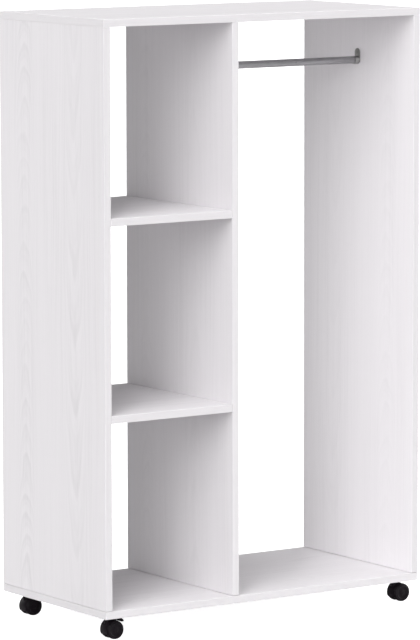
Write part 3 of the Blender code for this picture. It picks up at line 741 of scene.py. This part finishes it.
def hood_mesh(with_brake):
    mid = (FENDER_IN + FENDER_OUT) / 2
    web = arc(CX, CZ, mid, FENDER_START, FENDER_END, 56) + arc(CX, CZ, 0.0065, 180, 360, 24)
    if with_brake:
        web += arc(CX, CZ, 0.0135, 35, 80, 12)
    body = prism_mesh("caster_hood_fine", hull(web), -WEB_HALF, WEB_HALF, xz, 0.0005, 2)
    band = (arc(CX, CZ, FENDER_OUT, FENDER_START, FENDER_END, 56)
            + arc(CX, CZ, FENDER_IN, FENDER_END, FENDER_START, 56))
    steps = [("UNION", prism_mesh("fender", band, -FENDER_HALF, FENDER_HALF, xz, 0.0004, 3))]
    boss = turned_mesh("boss", [
        (BOSS_R + 0.0008, BOSS_LOW), (BOSS_R + 0.0008, BOSS_TOP - 0.0040), (BOSS_R + 0.0004, BOSS_TOP - 0.0028),
        (BOSS_R, BOSS_TOP - 0.0018), (BOSS_R, BOSS_TOP - 0.0005), (BOSS_R - 0.0002, BOSS_TOP - 0.0001),
        (BOSS_R - 0.0005, BOSS_TOP)], 48)
    steps.append(("UNION", worked(boss, ("DIFFERENCE", drum(mid, 0.030, 96, CX, CZ)))))
    if with_brake:
        px, pz = CX + LEVER_U, CZ + LEVER_V
        ear = hull(arc(px, pz, 0.0029, 0, 360, 32)[:-1] + arc(CX + 0.0018, CZ + 0.0140, 0.0040, 0, 360, 32)[:-1])
        steps.append(("UNION", prism_mesh("ear", ear, -WEB_HALF + 0.0002, WEB_HALF - 0.0002, xz, 0.0003, 2)))
        steps.append(("DIFFERENCE", block_mesh("lever_slot", (px - 0.0028, -TONGUE_HALF - RUN, pz - 0.0043),
                                               (px + 0.0122, TONGUE_HALF + RUN, pz + 0.0047))))
        steps.append(("DIFFERENCE", drum(TRUNNION_R + RUN, 0.008, 24, px, pz)))
    steps.append(("DIFFERENCE", turned_mesh("stem_bore", [(STEM_R + RUN, STEM_LOW - 2 * RUN), (STEM_R + RUN, BOSS_TOP + 0.007)], 32)))
    steps.append(("DIFFERENCE", drum(AXLE_R + RUN, 0.010, 32, CX, CZ)))
    return worked(body, *steps)


wheel_profile = [
    (0, AXLE_HALF + RUN), (AXLE_R + RUN, AXLE_HALF + RUN), (AXLE_R + RUN, WHEEL_IN + 0.0003), (AXLE_R + 0.0006, WHEEL_IN),
    (0.0177, WHEEL_IN), (0.0187, WHEEL_IN + 0.0002), (0.0192, WHEEL_IN + 0.0007), (WHEEL_R, WHEEL_IN + 0.0016),
    (WHEEL_R, 0.0095), (WHEEL_R, 0.0116), (0.0194, 0.0120), (0.0191, 0.0123), (0.0182, 0.0125), (0.0180, 0.0127),
    (0.0180, 0.0132), (0.0182, 0.0134), (0.0188, 0.0136), (0.0190, 0.0139), (0.0190, 0.0143), (0.0188, 0.0147),
    (0.0183, 0.0151), (0.0176, 0.01535), (0.0170, 0.01535), (0.0165, 0.0152), (0.0161, 0.0150), (0.0156, 0.0150),
    (0.0152, 0.0153), (0.0147, 0.01565), (0.0142, WHEEL_OUT), (0.0137, 0.01572),
    (0.0133, 0.0155), (0.0130, 0.0150), (0.0124, 0.01475), (0.0090, 0.0146), (0.0056, 0.0146), (0.0053, 0.0147),
    (0.0051, 0.0151), (0.0047, 0.0153), (0.0030, 0.0154), (0, 0.0154)]
wheel = turned_mesh("caster_wheel_fine", wheel_profile, 72, aim((0, 1, 0)))
marks = bmesh.new()
for k in range(3):
    a = math.radians(90 + 120 * k)
    turned(marks, [(0.0009, 0.0143), (0.0011, 0.0158)], 20,
           aim((0, 1, 0)) @ Matrix.Translation((0.0092 * math.cos(a), 0.0092 * math.sin(a), 0)))
wheel = worked(wheel, ("DIFFERENCE", close(marks, "marks")))

# brake lever about its pivot: a bent pedal over a block that is hollowed to the treads
shoe = []
for k in range(19):
    a = SHOE_TO + (SHOE_FROM - SHOE_TO) * k / 18
    b = math.sqrt((WHEEL_R + SHOE_AIR) ** 2 - (LEVER_U + a) ** 2) - LEVER_V
    shoe.append((a * math.cos(LEVER_PRESS) - b * math.sin(LEVER_PRESS),
                 a * math.sin(LEVER_PRESS) + b * math.cos(LEVER_PRESS)))
crown = [(0.0098, 0.0020), (0.0110, 0.00165), (0.0122, 0.00115), (0.0136, 0.00035), (0.0152, -0.0008), (0.0168, -0.0022)]
pedal = (shoe + [(0.0042, 0.0017), (0.0046, 0.0021)] + crown
         + [(0.0177, -0.0031), (0.0182, -0.0039), (0.0184, -0.0048), (0.0183, -0.0056), (0.0177, -0.0061), (0.0166, -0.0062),
            (0.0150, -0.0060), (0.0134, -0.0059), (0.0121, -0.0060)])
corner = 0.0030


def plan(a, c, b):
    return (a, c, b)


outline = ([(-0.004, -0.014), (0.006, -0.014)] + [(0.006, -LEVER_HALF)]
           + arc(0.0184 - corner, -LEVER_HALF + corner, corner, 270, 360, 10)
           + arc(0.0184 - corner, LEVER_HALF - corner, corner, 0, 90, 10)
           + [(0.006, LEVER_HALF), (0.006, 0.014), (-0.004, 0.014)])
tongue = hull(arc(0, 0, 0.0022, 0, 360, 32)[:-1] + [(0.006, -0.0012), (0.006, 0.0016)])
lever_steps = [("INTERSECT", prism_mesh("plan", outline, -0.012, 0.006, plan)),
               ("UNION", prism_mesh("tongue", tongue, -TONGUE_HALF, TONGUE_HALF, xz, 0.0003, 2)),
               ("UNION", drum(TRUNNION_R, TRUNNION_HALF, 24, 0, 0))]
for a, b in ((0.0070, 0.0020), (0.0093, 0.00195), (0.0115, 0.00136), (0.0136, 0.00025), (0.0156, -0.00120)):
    lever_steps.append(("UNION", turned_mesh("rib", [
        (0.0001, -LEVER_HALF + 0.0024), (0.0004, -LEVER_HALF + 0.0026), (0.00045, -LEVER_HALF + 0.0031),
        (0.00045, LEVER_HALF - 0.0031), (0.0004, LEVER_HALF - 0.0026), (0.0001, LEVER_HALF - 0.0024)], 12,
        Matrix.Translation((a, 0, b)) @ aim((0, 1, 0)))))
lever_mesh = worked(prism_mesh("brake_lever_fine", pedal, -LEVER_HALF, LEVER_HALF, xz, 0.0004, 2), *lever_steps)

stem_mesh = turned_mesh("caster_stem_fine", [
    (0, STEM_LOW), (STEM_R, STEM_LOW + 0.0010), (STEM_R, COLLAR_LOW), (0.0058, COLLAR_LOW),
    (hexagon(0.0065, 0.0066), COLLAR_LOW + 0.00013), (hexagon(0.0065, 0.0074), COLLAR_LOW + 0.00053),
    (hexagon(0.0065, 0.0074), COLLAR_TOP - 0.00055), (hexagon(0.0065, 0.0066), COLLAR_TOP - 0.00015),
    (0.0058, COLLAR_TOP), (0.0040, COLLAR_TOP), (0.0040, COLLAR_TOP + 0.0130), (0, COLLAR_TOP + 0.0141)], 72)

hood_plain, hood_braked = hood_mesh(False), hood_mesh(True)
for fb in ("front", "back"):
    for lr in ("left", "right"):
        tag = f"{fb}_{lr}"
        a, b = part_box(f"caster_stem_{tag}")
        x, y = (a.x + b.x) / 2, (a.y + b.y) / 2
        a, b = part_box(f"caster_axle_{tag}")
        way = 1 if (a.x + b.x) / 2 > x else -1
        braked = f"brake_lever_{tag}" in nodes
        spin = Matrix.Identity(4) if way > 0 else TURN
        at = Matrix.Translation((x, y, 0)) @ spin
        piece(f"caster_stem_{tag}_fine", stem_mesh, (STEEL,), "wardrobe", (f"caster_stem_{tag}",),
              Matrix.Translation((x, y, 0)), smooth=32)
        piece(f"caster_hood_{tag}_fine", hood_braked if braked else hood_plain, (BLACK_SHELL,), f"swivel_{tag}",
              (f"caster_hood_{tag}",), at, smooth=36)
        hub = Matrix.Translation((x + way * CX, y, CZ))
        piece(f"caster_wheel_{tag}_rear_fine", wheel, (BLACK_WHEEL,), f"wheel_{tag}_rear",
              (f"caster_wheel_{tag}_rear",), hub, smooth=30)
        piece(f"caster_wheel_{tag}_fore_fine", wheel, (BLACK_WHEEL,), f"wheel_{tag}_fore",
              (f"caster_wheel_{tag}_fore",), hub @ TURN, smooth=30)
        if braked:
            piece(f"brake_lever_{tag}_fine", lever_mesh, (BLACK_SHELL,), f"brake_{tag}",
                  (f"brake_lever_{tag}",),
                  Matrix.Translation((x + way * (CX + LEVER_U), y, CZ + LEVER_V)) @ spin, smooth=36)

# pieces that keep their first shape
for name, ob in nodes.items():
    if ob.hide_render:
        continue
    ob.data.materials.clear()
    ob.data.materials.append(STEEL)

# ------------------------------------------------------------ floor and light
bm = bmesh.new()
bmesh.ops.create_grid(bm, x_segments=2, y_segments=2, size=40.0)
floor_mesh = close(bm, "studio_floor")
floor_mat, net, bsdf = finish("studio_floor_white")
_, place = axes(net)
net.put(bsdf.inputs["Base Color"], net.mix(net.noise(place, 1.6, 3.0, 0.5), (0.59, 0.588, 0.59, 1), (0.61, 0.608, 0.61, 1)))
bsdf.inputs["Roughness"].default_value = 0.85
bsdf.inputs["Specular IOR Level"].default_value = 0.15
# the floor shows lighter than the light it passes on
seen = net.new("LightPath")
bsdf.inputs["Emission Color"].default_value = (1.0, 0.995, 1.0, 1.0)
net.put(bsdf.inputs["Emission Strength"], net.mul(seen.outputs["Is Camera Ray"], 0.92))
floor_mesh.materials.append(floor_mat)
floor = bpy.data.objects.new("studio_floor", floor_mesh)
scene.collection.objects.link(floor)

# soft boxes all round: azimuth (0 in front, negative to the left), elevation, strength
SOFT_BOXES = ((-80, 6, 0.14), (-60, 6, 0.32), (-40, 6, 3.03), (0, 6, 1.03), (20, 6, 0.17), (40, 6, 0.15),
              (60, 6, 1.62), (80, 6, 0.93), (100, 6, 1.64), (120, 6, 2.13), (180, 6, 6.51), (-50, 24, 7.32),
              (50, 24, 1.14), (70, 24, 1.84), (90, 24, 0.8), (110, 24, 2.42), (-60, 44, 3.96), (-30, 44, 1.59),
              (60, 44, 0.85), (90, 44, 0.5), (120, 44, 1.16), (-135, 64, 0.26), (-90, 64, 1.39), (-45, 64, 4.63),
              (0, 64, 0.06), (90, 64, 0.66), (135, 64, 0.73))
world = bpy.data.worlds.new("studio")
scene.world = world
world.use_nodes = True
net = Net(world.node_tree)
world.node_tree.nodes.clear()
coords = net.new("TexCoord")
glow = None
for azimuth, elevation, strength in SOFT_BOXES:
    a, e = math.radians(azimuth), math.radians(elevation)
    dot = net.new("VectorMath", operation="DOT_PRODUCT")
    net.put(dot.inputs[0], coords.outputs["Generated"])
    dot.inputs[1].default_value = (math.sin(a) * math.cos(e), -math.cos(a) * math.cos(e), math.sin(e))
    lobe = net.math("POWER", net.math("MAXIMUM", dot.outputs["Value"], 0.0), 30.0)
    lobe = net.mul(lobe, strength)
    glow = lobe if glow is None else net.math("ADD", glow, lobe)
lit = net.new("Background")
lit.inputs["Color"].default_value = (1.0, 1.0, 1.0, 1.0)
net.put(lit.inputs["Strength"], glow)
plain = net.new("Background")
plain.inputs["Color"].default_value = (1.0, 0.995, 1.0, 1.0)
plain.inputs["Strength"].default_value = 1.0
rays = net.new("LightPath")
both = net.new("MixShader")
net.put(both.inputs[0], rays.outputs["Is Camera Ray"])
net.put(both.inputs[1], lit.outputs[0])
net.put(both.inputs[2], plain.outputs[0])
sky = net.new("OutputWorld")
net.put(sky.inputs["Surface"], both.outputs[0])

scene.view_settings.view_transform = "Standard"
scene.view_settings.look = "None"
scene.view_settings.exposure = 0.0
scene.view_settings.gamma = 1.0

# --------------------------------------------------------------------- camera
AZIMUTH, ELEVATION, ROLL = -0.600207, 0.122826, -0.001351
DISTANCE, FOCAL_PX, FRAME_PX = 9.285683, 4373.165, 640
target = Vector((-0.003918, 0.0, 0.621174))
back = Vector((math.sin(AZIMUTH) * math.cos(ELEVATION), -math.cos(AZIMUTH) * math.cos(ELEVATION), math.sin(ELEVATION)))
right = (-back).cross(Vector((0, 0, 1))).normalized()
up = right.cross(-back)
x_axis = math.cos(ROLL) * right + math.sin(ROLL) * up
y_axis = -math.sin(ROLL) * right + math.cos(ROLL) * up
lens = bpy.data.cameras.new("camera")
lens.sensor_fit = "AUTO"
lens.sensor_width = 36.0
lens.lens = FOCAL_PX * 36.0 / FRAME_PX
lens.clip_end = 200.0
camera = bpy.data.objects.new("camera", lens)
scene.collection.objects.link(camera)
stand = Matrix((x_axis, y_axis, back)).transposed().to_4x4()
stand.translation = target + DISTANCE * back
camera.matrix_world = stand
scene.camera = camera
